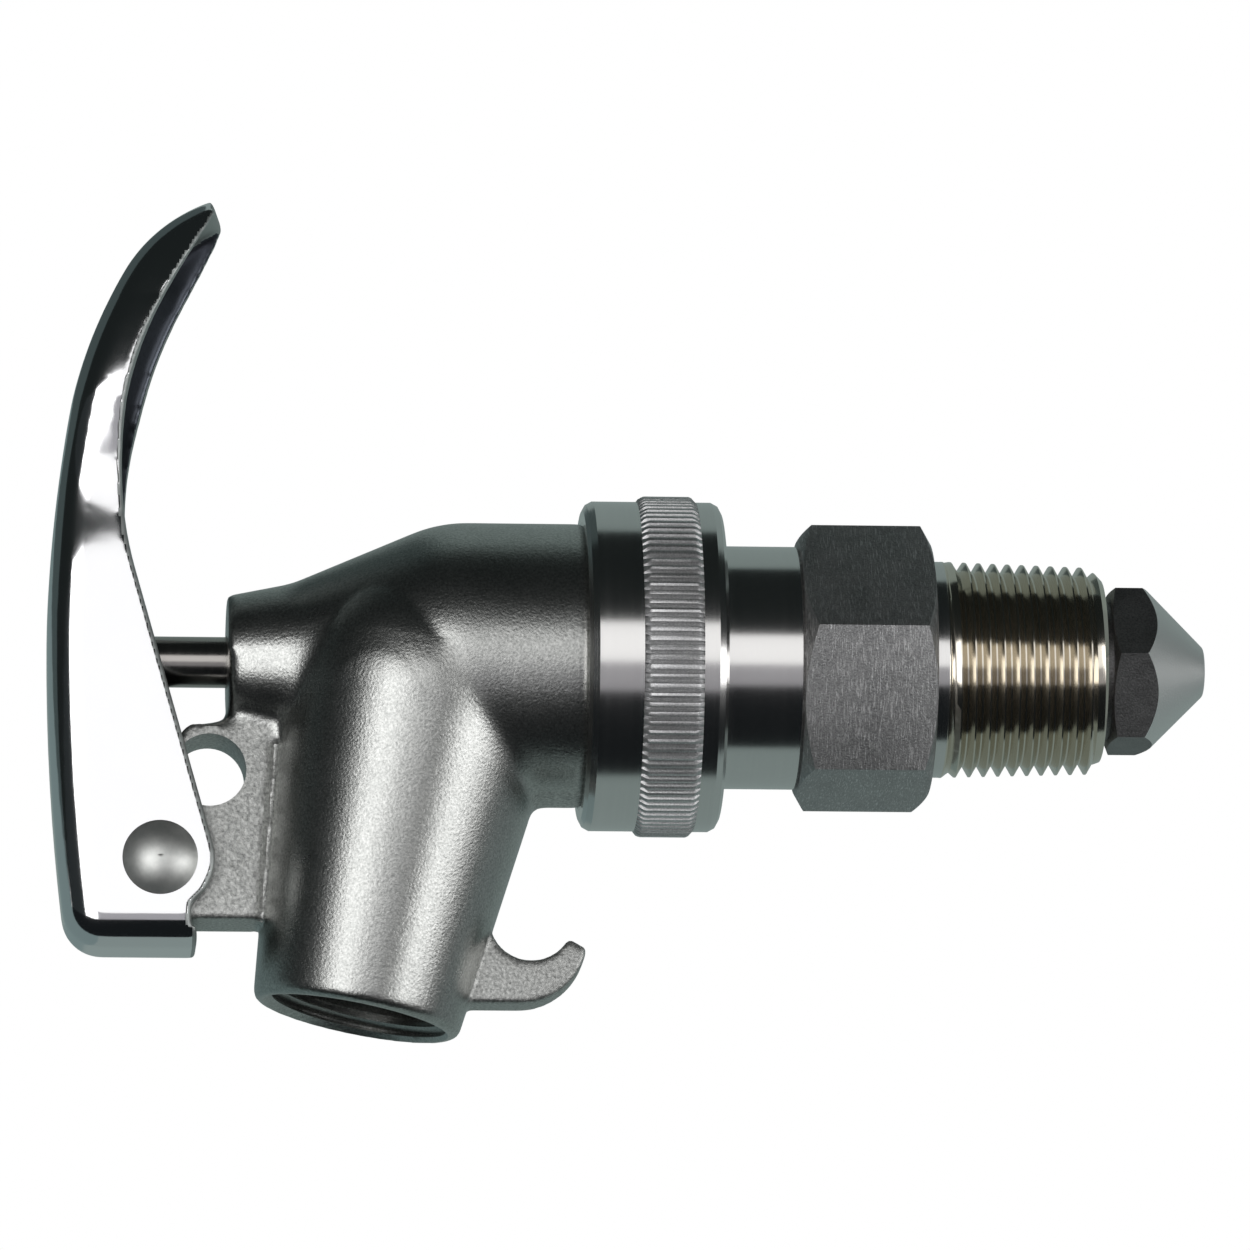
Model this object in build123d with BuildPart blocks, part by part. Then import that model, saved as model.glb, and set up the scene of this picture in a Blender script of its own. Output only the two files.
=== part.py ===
from build123d import *
import os
from math import asin, atan2, cos, pi, radians, sin, sqrt, tan

# Self-closing lever tap for a drum, in stainless steel.
# X runs along the inlet towards the drum, Z is up, and the origin is on the inlet's axis,
# at the drum side of the wrench hexagon, where the tapered pipe thread starts.
# All sizes are in millimetres.

# Gaps
running_gap = 0.05
loose_gap = 0.2

# Inlet shank
thread_radius = 13.2
thread_length = 19.6
thread_end_chamfer = 2.0
wrench_flats = 31.75
wrench_length = 16.4
wrench_turn = 5.9
hex_chamfer_angle = 30.0
neck_radius = 15.15
neck_length = 16.1
neck_edge = 0.4
inlet_bore_radius = 8.5
seat_bore_radius = 7.6
seat_bore_length = 3.0
seat_recess_radius = 9.2
seat_recess_depth = 1.4

# Split ring that holds the union nut on the shank
split_ring_thickness = 1.6
split_ring_depth = 0.9
split_ring_outer_radius = 17.0
split_ring_edge = 1.0
split_ring_gap = 3.0

# Union nut, its thrust ring and the gasket
nut_length = 17.2
nut_wall = 3.1
nut_lip = 2.5
nut_edge = 1.2
nut_mouth_chamfer = 0.6
nut_front_length = 7.4
knurl_height = 0.7
knurl_length = 6.0
knurl_edge = 0.7
thrust_ring_thickness = 1.2
gasket_thickness = 1.5

# Cast body
body_length = 53.5
barrel_radius = 17.7
barrel_thread_radius = 17.4
barrel_thread_relief = 0.3
boss_radius = 8.3
boss_length = 8.0
boss_rise = 1.6
boss_edge = 0.9
boss_blend = 12.0
shoulder_length = 18.3
shoulder_blend = 16.0
chamber_radius = 12.5
chamber_length = 35.5
chamber_blend = 5.0
guide_seat_radius = 13.4
gland_bore_radius = 5.6
boss_wall = 3.0

# Spout
spout_from_boss = 25.0
spout_tilt = 11.2
spout_length = 45.6
mouth_radius = 12.9
mouth_edge = 1.2
mouth_chamfer = 0.6
spout_half_angle = 6.6
spout_dome_drop = 4.0
outlet_thread_radius = 10.5
outlet_thread_length = 9.0
screen_seat_radius = 10.0
outlet_bore_radius = 9.2

# Flame arrester in the spout
screen_thickness = 1.0
screen_ring_length = 2.5
screen_ring_bore = 8.6

# Pivot lug with the padlock hole
lug_thickness = 10.0
pivot_from_boss = 8.25
pivot_drop = 26.0
lug_lobe_radius = 7.2
lug_top_drop = 7.0
lug_top_fall = 1.5
lug_top_length = 6.0
lug_corner = 2.5
padlock_hole_radius = 4.55
padlock_from_boss = 2.15
padlock_drop = 14.5

# Bucket hook
hook_thickness = 6.5
hook_throat_radius = 5.2
hook_outer_radius = 8.5
hook_from_boss = 37.8
hook_drop = 32.5
hook_throat_shift = 1.5
hook_throat_rise = 2.2
hook_tip_drop = 2.5
hook_tip_round = 1.0

# Stem and packing
stem_radius = 3.175
stem_dome_radius = 4.0
stem_contact_gap = 0.1
spigot_radius = 2.4
spigot_length = 9.0
ring_thickness = 2.0
ring_count = 3
packing_washer_thickness = 0.8
gland_length = 6.0
gland_head_length = 2.5
gland_head_flats = 9.5

# Stem guide, return spring and its collar
guide_thickness = 2.2
guide_hole_radius = 2.4
guide_hole_circle = 9.0
guide_hole_count = 6
spring_length = 22.0
spring_radius = 4.9
spring_wire_radius = 0.6
spring_turns = 6
collar_radius = 7.0
collar_thickness = 1.8
clip_thickness = 0.8
clip_radius = 5.2
clip_gap = 3.6
clip_groove_radius = 2.5

# Valve
backing_washer_radius = 6.8
backing_washer_thickness = 0.8
seat_washer_radius = 9.0
seat_washer_thickness = 1.2
nose_pilot_radius = 8.6
nose_gap = 1.0
nose_flats = 19.05
nose_turn = 0.8
nose_reach = 12.0
nose_cone_angle = 45.0
nose_tip_radius = 3.0
nose_tip_round = 0.8
nose_edge = 0.6
nose_shoulder_round = 0.3

# Lever. The back is a chain of bends, each with a radius and the degrees that it turns.
sheet = 2.2
lug_side_gap = 0.35
heel_drop = 36.7
heel_end_from_boss = 3.6
heel_length = 11.64
heel_bend_radius = 5.0
heel_bend_turn = 83.0
lower_bend_radius = 285.0
lower_bend_turn = 7.0
middle_bend_radius = 130.0
middle_bend_turn = 13.0
upper_bend_radius = 70.0
upper_bend_turn = 15.0
tip_bend_radius = 21.0
tip_bend_turn = 40.0
lever_corner = 4.2
lever_lobe_radius = 6.8
lever_notch_angle = 55.0
finger_depth_from_boss = 11.5
finger_height = 10.4
grip_from_boss = 12.8
grip_height = 24.0
palm_from_boss = 8.3
palm_above_grip = 18.8
grip_half_width = 9.8
grip_widest_height = 42.0
tip_half_width = 4.4
rivet_radius = 3.0
rivet_head_radius = 4.65
rivet_head_height = 2.1

os.makedirs("parts", exist_ok=True)


def save(piece, name):
    """Name a finished piece and write it to its own file."""
    piece.part.label = name
    export_step(piece.part, f"parts/{name}.step")


def ring_of(start_x, length, outer_radius, inner_radius):
    """A plain ring around the inlet's axis."""
    with BuildPart() as ring:
        with BuildSketch(Plane.YZ.offset(start_x)):
            Circle(outer_radius)
            Circle(inner_radius, mode=Mode.SUBTRACT)
        extrude(amount=length)
    return ring


# Places along the inlet's axis, from the drum side to the lever side
shank_end_x = thread_length + thread_end_chamfer
seat_x = shank_end_x - seat_recess_depth
neck_x = -wrench_length
neck_end_x = neck_x - neck_length
split_ring_x = neck_end_x + split_ring_edge
thrust_ring_x = split_ring_x + split_ring_thickness
nut_lip_x = thrust_ring_x + thrust_ring_thickness
nut_end_x = nut_lip_x + nut_lip
nut_x = nut_end_x - nut_length
nut_bore_radius = barrel_thread_radius + running_gap
nut_radius = nut_bore_radius + nut_wall
knurl_radius = nut_radius + knurl_height
body_rear_x = neck_end_x - gasket_thickness
barrel_shoulder_x = nut_x - barrel_thread_relief
boss_face_x = body_rear_x - body_length
guide_x = neck_end_x - guide_thickness

# Inlet shank: thread, wrench hexagon and neck turned from one bar
hex_corner_radius = wrench_flats / sqrt(3)
hex_chamfer = (hex_corner_radius - wrench_flats / 2) * tan(radians(hex_chamfer_angle))
with BuildPart() as inlet_shank:
    with BuildSketch(Plane.YZ.offset(neck_x)):
        RegularPolygon(wrench_flats / 2, 6, major_radius=False, rotation=-wrench_turn)
    extrude(amount=wrench_length)
    with BuildSketch(Plane.XZ):
        with BuildLine():
            Polyline(
                (neck_x, 0),
                (neck_x, wrench_flats / 2),
                (neck_x + hex_chamfer, hex_corner_radius),
                (-hex_chamfer, hex_corner_radius),
                (0, wrench_flats / 2),
                (0, 0),
                close=True,
            )
        make_face()
    revolve(axis=Axis.X, mode=Mode.INTERSECT)
    with BuildSketch(Plane.XZ):
        with BuildLine():
            Polyline(
                (neck_end_x, 0),
                (neck_end_x, neck_radius - neck_edge),
                (neck_end_x + neck_edge, neck_radius),
                (split_ring_x, neck_radius),
                (split_ring_x, neck_radius - split_ring_depth),
                (thrust_ring_x, neck_radius - split_ring_depth),
                (thrust_ring_x, neck_radius),
                (neck_x, neck_radius),
                (neck_x, thread_radius),
                (thread_length, thread_radius),
                (shank_end_x, thread_radius - thread_end_chamfer),
                (shank_end_x, 0),
                close=True,
            )
        make_face()
    revolve(axis=Axis.X)
    with BuildSketch(Plane.XZ):
        with BuildLine():
            Polyline(
                (neck_end_x, 0),
                (neck_end_x, inlet_bore_radius),
                (seat_x - seat_bore_length, inlet_bore_radius),
                (seat_x - seat_bore_length, seat_bore_radius),
                (seat_x, seat_bore_radius),
                (seat_x, seat_recess_radius),
                (shank_end_x, seat_recess_radius),
                (shank_end_x, 0),
                close=True,
            )
        make_face()
    revolve(axis=Axis.X, mode=Mode.SUBTRACT)
save(inlet_shank, "inlet_shank")

# Split ring: sprung into the shank's groove behind the union nut
with BuildPart() as split_ring:
    with BuildSketch(Plane.YZ.offset(split_ring_x)):
        Circle(split_ring_outer_radius)
        Circle(neck_radius - split_ring_depth, mode=Mode.SUBTRACT)
        with Locations((0, neck_radius)):
            Rectangle(split_ring_gap, 2 * split_ring_outer_radius - neck_radius, mode=Mode.SUBTRACT)
    extrude(amount=split_ring_thickness)
save(split_ring, "split_ring")

# Thrust ring: lets the nut turn against the split ring without scoring it
thrust_ring = ring_of(
    thrust_ring_x, thrust_ring_thickness, barrel_thread_radius - loose_gap, neck_radius + running_gap
)
save(thrust_ring, "thrust_ring")

# Union nut: smooth bands either side of a knurled one, threaded inside over the body
knurl_x = nut_x + nut_front_length
with BuildPart() as union_nut:
    with BuildSketch(Plane.XZ):
        with BuildLine():
            Polyline(
                (nut_x, nut_bore_radius + nut_mouth_chamfer),
                (nut_x, nut_radius - nut_edge),
                (nut_x + nut_edge, nut_radius),
                (knurl_x - knurl_edge, nut_radius),
                (knurl_x, knurl_radius),
                (knurl_x + knurl_length, knurl_radius),
                (knurl_x + knurl_length + knurl_edge, nut_radius),
                (nut_end_x - nut_edge, nut_radius),
                (nut_end_x, nut_radius - nut_edge),
                (nut_end_x, neck_radius + loose_gap),
                (nut_lip_x, neck_radius + loose_gap),
                (nut_lip_x, nut_bore_radius),
                (nut_x + nut_mouth_chamfer, nut_bore_radius),
                close=True,
            )
        make_face()
    revolve(axis=Axis.X)
save(union_nut, "union_nut")

# Union gasket: pressed between the body's rear face and the end of the shank
union_gasket = ring_of(
    body_rear_x, gasket_thickness, split_ring_outer_radius, guide_seat_radius + loose_gap
)
save(union_gasket, "union_gasket")

# Cast body: barrel, shoulder, boss, spout, pivot lug and bucket hook in one casting
boss_foot_x = boss_face_x + boss_length
boss_foot_radius = boss_radius + boss_rise
shoulder_x = boss_foot_x + shoulder_length
stuffing_x = boss_face_x + boss_wall
chamber_x = body_rear_x - chamber_length
spout_x = boss_face_x + spout_from_boss
spout_slope = tan(radians(spout_half_angle))
pivot_x = boss_face_x - pivot_from_boss
padlock_x = boss_face_x - padlock_from_boss
hook_x = boss_face_x + hook_from_boss
hook_back_x = hook_x - hook_throat_shift
hook_back_drop = hook_drop + hook_throat_rise

# The spout's plane has its own x along the spout, from the inlet's axis down to the mouth
spout_plane = Plane(
    origin=(spout_x, 0, 0),
    x_dir=(-sin(radians(spout_tilt)), 0, -cos(radians(spout_tilt))),
    z_dir=(0, -1, 0),
)
spout_axis = Axis(spout_plane.origin, spout_plane.x_dir)
dome_radius = mouth_radius + (spout_length - spout_dome_drop) * spout_slope
screen_seat_s = spout_length - outlet_thread_length - screen_ring_length - screen_thickness
outlet_thread_s = spout_length - outlet_thread_length
guide_seat_depth = guide_thickness - gasket_thickness + loose_gap
lug_root_x = spout_x - pivot_drop * tan(radians(spout_tilt))
lug_corner_z = -lug_top_drop - lug_top_fall - lug_corner

with BuildPart() as tap_body:
    # Boss, shoulder and barrel
    with BuildSketch(Plane.XZ):
        with BuildLine():
            FilletPolyline(
                (boss_face_x, 0),
                (boss_face_x, boss_radius),
                (boss_foot_x, boss_foot_radius),
                (shoulder_x, barrel_radius),
                (barrel_shoulder_x, barrel_radius),
                radius=(boss_edge, boss_blend, shoulder_blend),
            )
            Polyline(
                (barrel_shoulder_x, barrel_radius),
                (barrel_shoulder_x, barrel_thread_radius),
                (body_rear_x, barrel_thread_radius),
                (body_rear_x, 0),
                (boss_face_x, 0),
            )
        make_face()
    revolve(axis=Axis.X)
    # Spout, a cone that ends in a dome inside the barrel
    with BuildSketch(spout_plane):
        with BuildLine():
            FilletPolyline(
                (spout_dome_drop, dome_radius),
                (spout_length, mouth_radius),
                (spout_length, 0),
                radius=mouth_edge,
            )
            Line((spout_length, 0), (spout_dome_drop - dome_radius, 0))
            RadiusArc((spout_dome_drop - dome_radius, 0), (spout_dome_drop, dome_radius), dome_radius)
        make_face()
    revolve(axis=spout_axis)
    # Lug for the lever's rivet, with an eye for a padlock
    with BuildSketch(Plane.XZ) as lug_outline:
        with Locations((pivot_x, -pivot_drop)):
            Circle(lug_lobe_radius)
        with Locations((boss_face_x - lug_top_length + lug_corner, lug_corner_z)):
            Circle(lug_corner)
        with Locations((lug_root_x, -lug_top_drop)):
            Rectangle(
                mouth_radius, pivot_drop + lug_lobe_radius - lug_top_drop, align=(Align.MAX, Align.MAX)
            )
        make_hull()
    extrude(amount=lug_thickness / 2, both=True)
    # Bucket hook behind the spout
    with BuildSketch(Plane.XZ) as hook_outline:
        with Locations((hook_back_x, -hook_back_drop)):
            Circle(hook_outer_radius)
        with Locations((hook_back_x, -hook_drop)):
            Rectangle(
                hook_back_x - spout_x,
                hook_outer_radius + hook_throat_rise,
                align=(Align.MAX, Align.MAX),
            )
            Rectangle(
                4 * hook_outer_radius,
                2 * hook_outer_radius,
                align=(Align.CENTER, Align.MIN),
                mode=Mode.SUBTRACT,
            )
        with Locations((hook_x, -hook_drop)):
            Circle(hook_throat_radius, mode=Mode.SUBTRACT)
            Rectangle(
                2 * hook_outer_radius,
                hook_tip_drop,
                align=(Align.CENTER, Align.MAX),
                mode=Mode.SUBTRACT,
            )
        tip = hook_outline.vertices().group_by(Axis.X)[-1]
        fillet(tip, hook_tip_round)
    extrude(amount=hook_thickness / 2, both=True)
    # Barrel chamber, stuffing box and the stem's way out through the boss
    with BuildSketch(Plane.XZ):
        with BuildLine():
            FilletPolyline(
                (chamber_x, 0),
                (chamber_x, chamber_radius),
                (body_rear_x, chamber_radius),
                radius=chamber_blend,
            )
            Polyline((body_rear_x, chamber_radius), (body_rear_x, 0), (chamber_x, 0))
        make_face()
    revolve(axis=Axis.X, mode=Mode.SUBTRACT)
    with BuildSketch(Plane.YZ.offset(body_rear_x - guide_seat_depth)):
        Circle(guide_seat_radius)
    extrude(amount=guide_seat_depth, mode=Mode.SUBTRACT)
    with BuildSketch(Plane.YZ.offset(stuffing_x)):
        Circle(gland_bore_radius)
    extrude(amount=chamber_x - stuffing_x, mode=Mode.SUBTRACT)
    with BuildSketch(Plane.YZ.offset(boss_face_x)):
        Circle(stem_radius + loose_gap)
    extrude(amount=boss_wall, mode=Mode.SUBTRACT)
    # Spout bore, with a seat for the flame arrester and the outlet thread's bore
    with BuildSketch(spout_plane):
        with BuildLine():
            Polyline(
                (0, 0),
                (0, outlet_bore_radius),
                (screen_seat_s, outlet_bore_radius),
                (screen_seat_s, screen_seat_radius),
                (outlet_thread_s, screen_seat_radius),
                (outlet_thread_s, outlet_thread_radius),
                (spout_length - mouth_chamfer, outlet_thread_radius),
                (spout_length, outlet_thread_radius + mouth_chamfer),
                (spout_length, 0),
                close=True,
            )
        make_face()
    revolve(axis=spout_axis, mode=Mode.SUBTRACT)
    # Rivet hole and padlock eye
    with BuildSketch(Plane.XZ.offset(-lug_thickness)):
        with Locations((pivot_x, -pivot_drop)):
            Circle(rivet_radius + running_gap)
        with Locations((padlock_x, -padlock_drop)):
            Circle(padlock_hole_radius)
    extrude(amount=2 * lug_thickness, mode=Mode.SUBTRACT)
save(tap_body, "tap_body")

# Flame arrester: a disc of screen on the seat in the spout, held by a ring below it
with BuildPart() as arrester_screen:
    with BuildSketch(spout_plane):
        with Locations((screen_seat_s, 0)):
            Rectangle(screen_thickness, screen_seat_radius - running_gap, align=Align.MIN)
    revolve(axis=spout_axis)
save(arrester_screen, "arrester_screen")

with BuildPart() as arrester_ring:
    with BuildSketch(spout_plane):
        with Locations((screen_seat_s + screen_thickness, screen_ring_bore)):
            Rectangle(
                screen_ring_length, screen_seat_radius - running_gap - screen_ring_bore, align=Align.MIN
            )
    revolve(axis=spout_axis)
save(arrester_ring, "arrester_ring")

# Packing: a washer, soft rings and the gland that squeezes them round the stem
packing_x = stuffing_x + packing_washer_thickness
gland_x = packing_x + ring_count * ring_thickness
packing_washer = ring_of(
    stuffing_x, packing_washer_thickness, gland_bore_radius - running_gap, stem_radius + loose_gap
)
save(packing_washer, "packing_washer")

with BuildPart() as packing_rings:
    for ring in range(ring_count):
        with BuildSketch(Plane.YZ.offset(packing_x + ring * ring_thickness)):
            Circle(gland_bore_radius - running_gap)
            Circle(stem_radius + running_gap, mode=Mode.SUBTRACT)
        extrude(amount=ring_thickness - running_gap)
save(packing_rings, "packing_rings")

with BuildPart() as packing_gland:
    with BuildSketch(Plane.YZ.offset(gland_x)):
        Circle(gland_bore_radius - running_gap)
    extrude(amount=gland_length)
    with BuildSketch(Plane.YZ.offset(gland_x + gland_length)):
        RegularPolygon(gland_head_flats / 2, 6, major_radius=False)
    extrude(amount=gland_head_length)
    with BuildSketch(Plane.YZ.offset(gland_x)):
        Circle(stem_radius + loose_gap)
    extrude(amount=gland_length + gland_head_length, mode=Mode.SUBTRACT)
save(packing_gland, "packing_gland")

# Stem guide: a drilled disc against the end of the shank, under the return spring
with BuildPart() as stem_guide:
    with BuildSketch(Plane.YZ.offset(guide_x)):
        Circle(guide_seat_radius - loose_gap)
        Circle(stem_radius + running_gap, mode=Mode.SUBTRACT)
        with PolarLocations(guide_hole_circle, guide_hole_count):
            Circle(guide_hole_radius, mode=Mode.SUBTRACT)
    extrude(amount=guide_thickness)
save(stem_guide, "stem_guide")

# Return spring: one open coil from the stem's collar to the guide
spring_x = guide_x - spring_length
spring_pitch = (spring_length - 2 * spring_wire_radius) / spring_turns
with BuildPart() as return_spring:
    with BuildLine(Plane.XY):
        coil = Helix(
            pitch=spring_pitch,
            height=spring_turns * spring_pitch,
            radius=spring_radius,
            center=(spring_x + spring_wire_radius, 0, 0),
            direction=(1, 0, 0),
        )
    with BuildSketch(Plane(origin=coil @ 0, z_dir=coil % 0)):
        Circle(spring_wire_radius)
    sweep(path=coil, is_frenet=True)
save(return_spring, "return_spring")

# Lever back: the outer line of the web, or one set in by the sheet, as a chain of tangent bends
pivot_z = -pivot_drop
heel_end_x = boss_face_x - heel_end_from_boss


def lever_back(inset):
    """Draw the web's line from the heel's end to the tip and return its last edge."""
    edge = Line(
        (heel_end_x + inset, inset - heel_drop), (heel_end_x - heel_length, inset - heel_drop)
    )
    bends = (
        (heel_bend_radius, heel_bend_turn),
        (lower_bend_radius, lower_bend_turn),
        (middle_bend_radius, middle_bend_turn),
        (upper_bend_radius, upper_bend_turn),
        (tip_bend_radius, tip_bend_turn),
    )
    for radius, turn in bends:
        edge = JernArc(start=edge @ 1, tangent=edge % 1, radius=radius - inset, arc_size=-turn)
    return edge


def lever_front(inset):
    """Sketch the lever's outline as seen from the front, inset by a sheet's thickness."""
    foot = lug_thickness / 2 + lug_side_gap + sheet - inset
    with BuildSketch(Plane.YZ.offset(boss_face_x - 2 * spout_from_boss)) as outline:
        with BuildLine():
            straight = Line((foot, -2 * heel_drop), (foot, finger_height))
            Spline(
                straight @ 1,
                (grip_half_width - inset, grip_widest_height),
                (tip_half_width - inset / 2, tip_z),
                tangents=((0, 1), (-1, 1)),
            )
            Line((tip_half_width - inset / 2, tip_z), (tip_half_width - inset / 2, 2 * tip_z))
            Line((tip_half_width - inset / 2, 2 * tip_z), (0, 2 * tip_z))
            mirror(about=Plane.YZ)
            Line((-foot, -2 * heel_drop), (foot, -2 * heel_drop))
        make_face()
    return outline


with BuildLine():
    tip = lever_back(0) @ 1
with BuildLine():
    inner_edge = lever_back(sheet)
    inner_tip = inner_edge @ 1
    cavity_exit = inner_tip + (inner_edge % 1) * lug_thickness
tip_z = tip.Y

# Where the web's inner face crosses the inlet's axis
heel_bend = radians(heel_bend_turn)
back_start_x = heel_end_x - heel_length - (heel_bend_radius - sheet) * sin(heel_bend)
back_start_z = sheet - heel_drop + (heel_bend_radius - sheet) * (1 - cos(heel_bend))
lower_radius = lower_bend_radius - sheet
lower_centre_x = back_start_x + lower_radius * sin(heel_bend)
lower_centre_z = back_start_z + lower_radius * cos(heel_bend)
lever_web_x = lower_centre_x - sqrt(lower_radius**2 - lower_centre_z**2)

# The flange's edge runs straight from the finger's rest to the lobe round the pivot
finger = Vector(boss_face_x - finger_depth_from_boss, finger_height)
pivot = Vector(pivot_x, pivot_z)
to_pivot = pivot - finger
edge_angle = atan2(to_pivot.Y, to_pivot.X) + asin(lever_lobe_radius / to_pivot.length)
edge_length = sqrt(to_pivot.length**2 - lever_lobe_radius**2)
lobe_start = finger + Vector(cos(edge_angle), sin(edge_angle)) * edge_length
lobe_start_angle = edge_angle + pi / 2
lobe_end_angle = -radians(lever_notch_angle)
lobe_middle_angle = (lobe_start_angle + lobe_end_angle) / 2


def lobe_point(angle):
    """A point on the lobe round the pivot."""
    return pivot + Vector(cos(angle), sin(angle)) * lever_lobe_radius


# Lever: a channel pressed from sheet, with a closed heel and a rounded tip
with BuildPart() as lever_cavity:
    extrude(lever_front(sheet).sketch, amount=4 * spout_from_boss)
    with BuildSketch(Plane.XZ):
        with BuildLine():
            lever_back(sheet)
            Polyline(
                inner_tip,
                cavity_exit,
                (spout_x, cavity_exit.Y),
                (spout_x, sheet - heel_drop),
                (heel_end_x + sheet, sheet - heel_drop),
            )
        make_face()
    extrude(amount=2 * grip_half_width, both=True, mode=Mode.INTERSECT)

with BuildPart() as lever:
    extrude(lever_front(0).sketch, amount=4 * spout_from_boss)
    with BuildSketch(Plane.XZ):
        with BuildLine():
            lever_back(0)
            Line(tip, inner_tip)
            Spline(
                inner_tip,
                (boss_face_x - palm_from_boss, grip_height + palm_above_grip),
                (boss_face_x - grip_from_boss, grip_height),
                finger,
                tangents=((-1, -2), (cos(edge_angle), sin(edge_angle))),
            )
            Line(finger, lobe_start)
            ThreePointArc(lobe_start, lobe_point(lobe_middle_angle), lobe_point(lobe_end_angle))
            Polyline(
                lobe_point(lobe_end_angle),
                (lobe_point(lobe_end_angle).X, sheet - heel_drop),
                (heel_end_x, sheet - heel_drop),
                (heel_end_x, -heel_drop),
            )
        make_face()
    extrude(amount=2 * grip_half_width, both=True, mode=Mode.INTERSECT)
    lever_back_faces = lever.faces().filter_by(
        lambda face: face.normal_at().X < -0.1 or face.normal_at().Z < -0.9
    )
    lever_corners = ShapeList({edge for face in lever_back_faces for edge in face.edges()})
    fillet(lever_corners.filter_by(Axis.Y, reverse=True), lever_corner)
    add(lever_cavity.part, mode=Mode.SUBTRACT)
    with BuildSketch(Plane.XZ.offset(-2 * lug_thickness)):
        with Locations(pivot):
            Circle(rivet_radius)
    extrude(amount=4 * lug_thickness, mode=Mode.SUBTRACT)
save(lever, "lever")

# Pivot rivet: a shank through the lug and both flanges, with a domed head at each end
rivet_face = lug_thickness / 2 + lug_side_gap + sheet
dome_sphere = (rivet_head_radius**2 + rivet_head_height**2) / (2 * rivet_head_height)
with BuildPart() as pivot_rivet:
    with BuildSketch(Plane.XY):
        with BuildLine():
            Polyline(
                (pivot_x, 0),
                (pivot_x + rivet_radius, 0),
                (pivot_x + rivet_radius, rivet_face),
                (pivot_x + rivet_head_radius, rivet_face),
            )
            RadiusArc(
                (pivot_x + rivet_head_radius, rivet_face),
                (pivot_x, rivet_face + rivet_head_height),
                -dome_sphere,
            )
            Line((pivot_x, rivet_face + rivet_head_height), (pivot_x, 0))
        make_face()
        mirror(about=Plane.XZ)
    revolve(axis=Axis((pivot_x, 0, 0), (0, 1, 0)))
pivot_rivet.part.position = (0, 0, pivot_z)
save(pivot_rivet, "pivot_rivet")

# Valve stem: from the lever's web through the body and shank to the valve nose
stem_x = lever_web_x + stem_contact_gap
stem_dome_x = stem_x + stem_dome_radius - sqrt(stem_dome_radius**2 - stem_radius**2)
washer_x = seat_x - backing_washer_thickness
collar_x = spring_x - collar_thickness
clip_x = collar_x - clip_thickness
with BuildPart() as valve_stem:
    with BuildSketch(Plane.XZ):
        with BuildLine():
            RadiusArc((stem_x, 0), (stem_dome_x, stem_radius), stem_dome_radius)
            Polyline(
                (stem_dome_x, stem_radius),
                (clip_x, stem_radius),
                (clip_x, clip_groove_radius),
                (collar_x, clip_groove_radius),
                (collar_x, stem_radius),
                (washer_x, stem_radius),
                (washer_x, spigot_radius),
                (washer_x + spigot_length, spigot_radius),
                (washer_x + spigot_length, 0),
                (stem_x, 0),
            )
        make_face()
    revolve(axis=Axis.X)
save(valve_stem, "valve_stem")

# Spring collar and the clip that stops it on the stem
spring_collar = ring_of(collar_x, collar_thickness, collar_radius, stem_radius + running_gap)
save(spring_collar, "spring_collar")

with BuildPart() as collar_clip:
    with BuildSketch(Plane.YZ.offset(clip_x)):
        Circle(clip_radius)
        Circle(clip_groove_radius + running_gap, mode=Mode.SUBTRACT)
        with Locations((0, -clip_radius)):
            Rectangle(clip_gap, 2 * clip_radius, mode=Mode.SUBTRACT)
    extrude(amount=clip_thickness)
save(collar_clip, "collar_clip")

# Valve: backing washer, soft seat washer and the nose that carries them into the drum
backing_washer = ring_of(
    washer_x, backing_washer_thickness, backing_washer_radius, spigot_radius + running_gap
)
save(backing_washer, "backing_washer")
seat_washer = ring_of(seat_x, seat_washer_thickness, seat_washer_radius, spigot_radius + running_gap)
save(seat_washer, "seat_washer")

pilot_x = seat_x + seat_washer_thickness
nose_x = shank_end_x + nose_gap
nose_end_x = nose_x + nose_reach
nose_corner_radius = nose_flats / sqrt(3)
cone_length = (nose_corner_radius - nose_tip_radius) / tan(radians(nose_cone_angle))
with BuildPart() as valve_nose:
    with BuildSketch(Plane.YZ.offset(nose_x)):
        RegularPolygon(nose_flats / 2, 6, major_radius=False, rotation=-nose_turn)
    extrude(amount=nose_reach)
    with BuildSketch(Plane.XZ):
        with BuildLine():
            Line((nose_x, 0), (nose_x, nose_flats / 2))
            Line((nose_x, nose_flats / 2), (nose_x + nose_edge, nose_corner_radius))
            FilletPolyline(
                (nose_x + nose_edge, nose_corner_radius),
                (nose_end_x - cone_length, nose_corner_radius),
                (nose_end_x, nose_tip_radius),
                (nose_end_x, 0),
                radius=(nose_shoulder_round, nose_tip_round),
            )
            Line((nose_end_x, 0), (nose_x, 0))
        make_face()
    revolve(axis=Axis.X, mode=Mode.INTERSECT)
    with BuildSketch(Plane.YZ.offset(pilot_x)):
        Circle(nose_pilot_radius)
    extrude(amount=nose_x - pilot_x)
    with BuildSketch(Plane.YZ.offset(pilot_x)):
        Circle(spigot_radius + running_gap)
    extrude(amount=washer_x + spigot_length + running_gap - pilot_x, mode=Mode.SUBTRACT)
save(valve_nose, "valve_nose")
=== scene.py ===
import random
from math import atan2, cos, hypot, pi, radians, sin, sqrt, tan

import bmesh
import bpy
from mathutils import Matrix, Vector


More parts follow.
